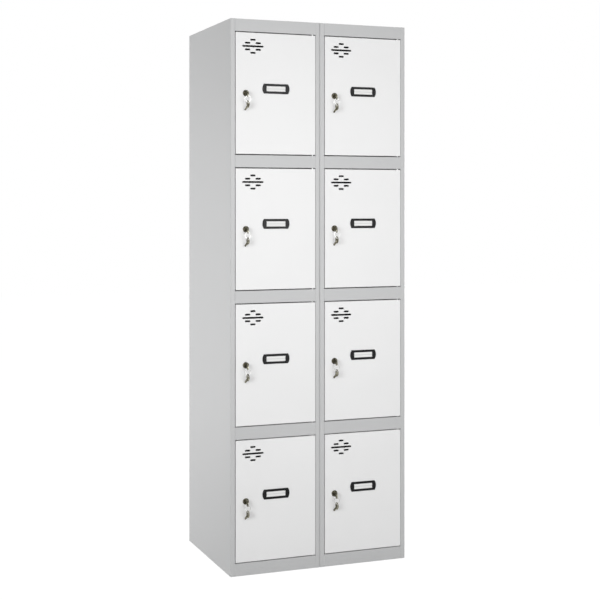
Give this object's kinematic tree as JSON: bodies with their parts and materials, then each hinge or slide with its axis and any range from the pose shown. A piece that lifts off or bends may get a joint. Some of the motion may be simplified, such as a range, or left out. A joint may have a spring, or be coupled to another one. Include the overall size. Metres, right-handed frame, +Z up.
{
  "type": "metal locker",
  "caption": "Free-standing steel locker of two columns side by side, each with four lockable compartments, vented white doors, label holders and keys on rings.",
  "frame": {"origin": "on the floor, midway between the two columns and midway from the front faces to the rear", "axes": "+X to the right as seen from in front of the doors, +Y to the rear, +Z up"},
  "size_m": [0.6, 0.4884, 1.739],
  "materials": {
    "grey_powder_coat": "light grey powder coat, satin",
    "white_powder_coat": "off-white powder coat, satin",
    "bare_steel": "zinc or nickel plated",
    "bronze_metal": "dark olive bronze plate, worn",
    "black_plastic": "moulded, slightly glossy",
    "black_rubber": "matt"
  },
  "bodies": {
    "cabinet": {"left_column_left_wall": "grey_powder_coat", "left_column_right_wall": "grey_powder_coat", "right_column_left_wall": "grey_powder_coat", "right_column_right_wall": "grey_powder_coat", "back_panels": "grey_powder_coat", "roof_panels": "grey_powder_coat", "shelves": "grey_powder_coat", "base_panels": "grey_powder_coat", "hinge_pins": "bare_steel", "door_buffers": "black_rubber", "column_bolts": "bare_steel", "column_nuts": "bare_steel"},
    "left_door_1": {"left_door_1": "white_powder_coat", "left_label_holder_1": "black_plastic"},
    "left_lock_1": {"left_lock_core_1": "bare_steel"},
    "left_key_1": {"left_key_1": "bronze_metal"},
    "left_ring_1": {"left_key_ring_1": "bare_steel"},
    "left_spare_1": {"left_spare_key_1": "bare_steel"},
    "left_door_2": {"left_door_2": "white_powder_coat", "left_label_holder_2": "black_plastic"},
    "left_lock_2": {"left_lock_core_2": "bare_steel"},
    "left_key_2": {"left_key_2": "bronze_metal"},
    "left_ring_2": {"left_key_ring_2": "bare_steel"},
    "left_spare_2": {"left_spare_key_2": "bare_steel"},
    "left_door_3": {"left_door_3": "white_powder_coat", "left_label_holder_3": "black_plastic"},
    "left_lock_3": {"left_lock_core_3": "bare_steel"},
    "left_key_3": {"left_key_3": "bronze_metal"},
    "left_ring_3": {"left_key_ring_3": "bare_steel"},
    "left_spare_3": {"left_spare_key_3": "bare_steel"},
    "left_door_4": {"left_door_4": "white_powder_coat", "left_label_holder_4": "black_plastic"},
    "left_lock_4": {"left_lock_core_4": "bare_steel"},
    "left_key_4": {"left_key_4": "bronze_metal"},
    "left_ring_4": {"left_key_ring_4": "bare_steel"},
    "left_spare_4": {"left_spare_key_4": "bare_steel"},
    "right_door_1": {"right_door_1": "white_powder_coat", "right_label_holder_1": "black_plastic"},
    "right_lock_1": {"right_lock_core_1": "bare_steel"},
    "right_key_1": {"right_key_1": "bronze_metal"},
    "right_ring_1": {"right_key_ring_1": "bare_steel"},
    "right_spare_1": {"right_spare_key_1": "bare_steel"},
    "right_door_2": {"right_door_2": "white_powder_coat", "right_label_holder_2": "black_plastic"},
    "right_lock_2": {"right_lock_core_2": "bare_steel"},
    "right_key_2": {"right_key_2": "bronze_metal"},
    "right_ring_2": {"right_key_ring_2": "bare_steel"},
    "right_spare_2": {"right_spare_key_2": "bare_steel"},
    "right_door_3": {"right_door_3": "white_powder_coat", "right_label_holder_3": "black_plastic"},
    "right_lock_3": {"right_lock_core_3": "bare_steel"},
    "right_key_3": {"right_key_3": "bronze_metal"},
    "right_ring_3": {"right_key_ring_3": "bare_steel"},
    "right_spare_3": {"right_spare_key_3": "bare_steel"},
    "right_door_4": {"right_door_4": "white_powder_coat", "right_label_holder_4": "black_plastic"},
    "right_lock_4": {"right_lock_core_4": "bare_steel"},
    "right_key_4": {"right_key_4": "bronze_metal"},
    "right_ring_4": {"right_key_ring_4": "bare_steel"},
    "right_spare_4": {"right_spare_key_4": "bare_steel"}
  },
  "joints": [
    {"name": "left_door_1_swing", "type": "hinge", "parent": "cabinet", "child": "left_door_1", "pos_m": [-0.025, -0.2255, 1.507], "axis": [0, 0, 1], "range_deg": [0, 110]},
    {"name": "left_lock_1_turn", "type": "hinge", "parent": "left_door_1", "child": "left_lock_1", "pos_m": [-0.25, -0.23, 1.507], "axis": [0, 1, 0], "range_deg": [0, 90]},
    {"name": "left_key_1_withdraw", "type": "slide", "parent": "left_lock_1", "child": "left_key_1", "axis": [0, -1, 0], "range_m": [0, 0.025]},
    {"name": "left_ring_1_swing", "type": "hinge", "parent": "left_key_1", "child": "left_ring_1", "pos_m": [-0.25, -0.249, 1.497], "axis": [-1, 0, 0], "range_deg": [0, 90]},
    {"name": "left_spare_1_swing", "type": "hinge", "parent": "left_ring_1", "child": "left_spare_1", "pos_m": [-0.25, -0.249, 1.479], "axis": [-1, 0, 0], "range_deg": [-4, 75]},
    {"name": "left_door_2_swing", "type": "hinge", "parent": "cabinet", "child": "left_door_2", "pos_m": [-0.025, -0.2255, 1.082], "axis": [0, 0, 1], "range_deg": [0, 110]},
    {"name": "left_lock_2_turn", "type": "hinge", "parent": "left_door_2", "child": "left_lock_2", "pos_m": [-0.25, -0.23, 1.082], "axis": [0, 1, 0], "range_deg": [0, 90]},
    {"name": "left_key_2_withdraw", "type": "slide", "parent": "left_lock_2", "child": "left_key_2", "axis": [0, -1, 0], "range_m": [0, 0.025]},
    {"name": "left_ring_2_swing", "type": "hinge", "parent": "left_key_2", "child": "left_ring_2", "pos_m": [-0.25, -0.249, 1.072], "axis": [-1, 0, 0], "range_deg": [0, 90]},
    {"name": "left_spare_2_swing", "type": "hinge", "parent": "left_ring_2", "child": "left_spare_2", "pos_m": [-0.25, -0.249, 1.054], "axis": [-1, 0, 0], "range_deg": [-4, 75]},
    {"name": "left_door_3_swing", "type": "hinge", "parent": "cabinet", "child": "left_door_3", "pos_m": [-0.025, -0.2255, 0.657], "axis": [0, 0, 1], "range_deg": [0, 110]},
    {"name": "left_lock_3_turn", "type": "hinge", "parent": "left_door_3", "child": "left_lock_3", "pos_m": [-0.25, -0.23, 0.657], "axis": [0, 1, 0], "range_deg": [0, 90]},
    {"name": "left_key_3_withdraw", "type": "slide", "parent": "left_lock_3", "child": "left_key_3", "axis": [0, -1, 0], "range_m": [0, 0.025]},
    {"name": "left_ring_3_swing", "type": "hinge", "parent": "left_key_3", "child": "left_ring_3", "pos_m": [-0.25, -0.249, 0.647], "axis": [-1, 0, 0], "range_deg": [0, 90]},
    {"name": "left_spare_3_swing", "type": "hinge", "parent": "left_ring_3", "child": "left_spare_3", "pos_m": [-0.25, -0.249, 0.629], "axis": [-1, 0, 0], "range_deg": [-4, 75]},
    {"name": "left_door_4_swing", "type": "hinge", "parent": "cabinet", "child": "left_door_4", "pos_m": [-0.025, -0.2255, 0.232], "axis": [0, 0, 1], "range_deg": [0, 110]},
    {"name": "left_lock_4_turn", "type": "hinge", "parent": "left_door_4", "child": "left_lock_4", "pos_m": [-0.25, -0.23, 0.232], "axis": [0, 1, 0], "range_deg": [0, 90]},
    {"name": "left_key_4_withdraw", "type": "slide", "parent": "left_lock_4", "child": "left_key_4", "axis": [0, -1, 0], "range_m": [0, 0.025]},
    {"name": "left_ring_4_swing", "type": "hinge", "parent": "left_key_4", "child": "left_ring_4", "pos_m": [-0.25, -0.249, 0.222], "axis": [-1, 0, 0], "range_deg": [0, 90]},
    {"name": "left_spare_4_swing", "type": "hinge", "parent": "left_ring_4", "child": "left_spare_4", "pos_m": [-0.25, -0.249, 0.204], "axis": [-1, 0, 0], "range_deg": [-4, 75]},
    {"name": "right_door_1_swing", "type": "hinge", "parent": "cabinet", "child": "right_door_1", "pos_m": [0.275, -0.2255, 1.507], "axis": [0, 0, 1], "range_deg": [0, 110]},
    {"name": "right_lock_1_turn", "type": "hinge", "parent": "right_door_1", "child": "right_lock_1", "pos_m": [0.05, -0.23, 1.507], "axis": [0, 1, 0], "range_deg": [0, 90]},
    {"name": "right_key_1_withdraw", "type": "slide", "parent": "right_lock_1", "child": "right_key_1", "axis": [0, -1, 0], "range_m": [0, 0.025]},
    {"name": "right_ring_1_swing", "type": "hinge", "parent": "right_key_1", "child": "right_ring_1", "pos_m": [0.05, -0.249, 1.497], "axis": [-1, 0, 0], "range_deg": [0, 90]},
    {"name": "right_spare_1_swing", "type": "hinge", "parent": "right_ring_1", "child": "right_spare_1", "pos_m": [0.05, -0.249, 1.479], "axis": [-1, 0, 0], "range_deg": [-4, 75]},
    {"name": "right_door_2_swing", "type": "hinge", "parent": "cabinet", "child": "right_door_2", "pos_m": [0.275, -0.2255, 1.082], "axis": [0, 0, 1], "range_deg": [0, 110]},
    {"name": "right_lock_2_turn", "type": "hinge", "parent": "right_door_2", "child": "right_lock_2", "pos_m": [0.05, -0.23, 1.082], "axis": [0, 1, 0], "range_deg": [0, 90]},
    {"name": "right_key_2_withdraw", "type": "slide", "parent": "right_lock_2", "child": "right_key_2", "axis": [0, -1, 0], "range_m": [0, 0.025]},
    {"name": "right_ring_2_swing", "type": "hinge", "parent": "right_key_2", "child": "right_ring_2", "pos_m": [0.05, -0.249, 1.072], "axis": [-1, 0, 0], "range_deg": [0, 90]},
    {"name": "right_spare_2_swing", "type": "hinge", "parent": "right_ring_2", "child": "right_spare_2", "pos_m": [0.05, -0.249, 1.054], "axis": [-1, 0, 0], "range_deg": [-4, 75]},
    {"name": "right_door_3_swing", "type": "hinge", "parent": "cabinet", "child": "right_door_3", "pos_m": [0.275, -0.2255, 0.657], "axis": [0, 0, 1], "range_deg": [0, 110]},
    {"name": "right_lock_3_turn", "type": "hinge", "parent": "right_door_3", "child": "right_lock_3", "pos_m": [0.05, -0.23, 0.657], "axis": [0, 1, 0], "range_deg": [0, 90]},
    {"name": "right_key_3_withdraw", "type": "slide", "parent": "right_lock_3", "child": "right_key_3", "axis": [0, -1, 0], "range_m": [0, 0.025]},
    {"name": "right_ring_3_swing", "type": "hinge", "parent": "right_key_3", "child": "right_ring_3", "pos_m": [0.05, -0.249, 0.647], "axis": [-1, 0, 0], "range_deg": [0, 90]},
    {"name": "right_spare_3_swing", "type": "hinge", "parent": "right_ring_3", "child": "right_spare_3", "pos_m": [0.05, -0.249, 0.629], "axis": [-1, 0, 0], "range_deg": [-4, 75]},
    {"name": "right_door_4_swing", "type": "hinge", "parent": "cabinet", "child": "right_door_4", "pos_m": [0.275, -0.2255, 0.232], "axis": [0, 0, 1], "range_deg": [0, 110]},
    {"name": "right_lock_4_turn", "type": "hinge", "parent": "right_door_4", "child": "right_lock_4", "pos_m": [0.05, -0.23, 0.232], "axis": [0, 1, 0], "range_deg": [0, 90]},
    {"name": "right_key_4_withdraw", "type": "slide", "parent": "right_lock_4", "child": "right_key_4", "axis": [0, -1, 0], "range_m": [0, 0.025]},
    {"name": "right_ring_4_swing", "type": "hinge", "parent": "right_key_4", "child": "right_ring_4", "pos_m": [0.05, -0.249, 0.222], "axis": [-1, 0, 0], "range_deg": [0, 90]},
    {"name": "right_spare_4_swing", "type": "hinge", "parent": "right_ring_4", "child": "right_spare_4", "pos_m": [0.05, -0.249, 0.204], "axis": [-1, 0, 0], "range_deg": [-4, 75]}
  ]
}
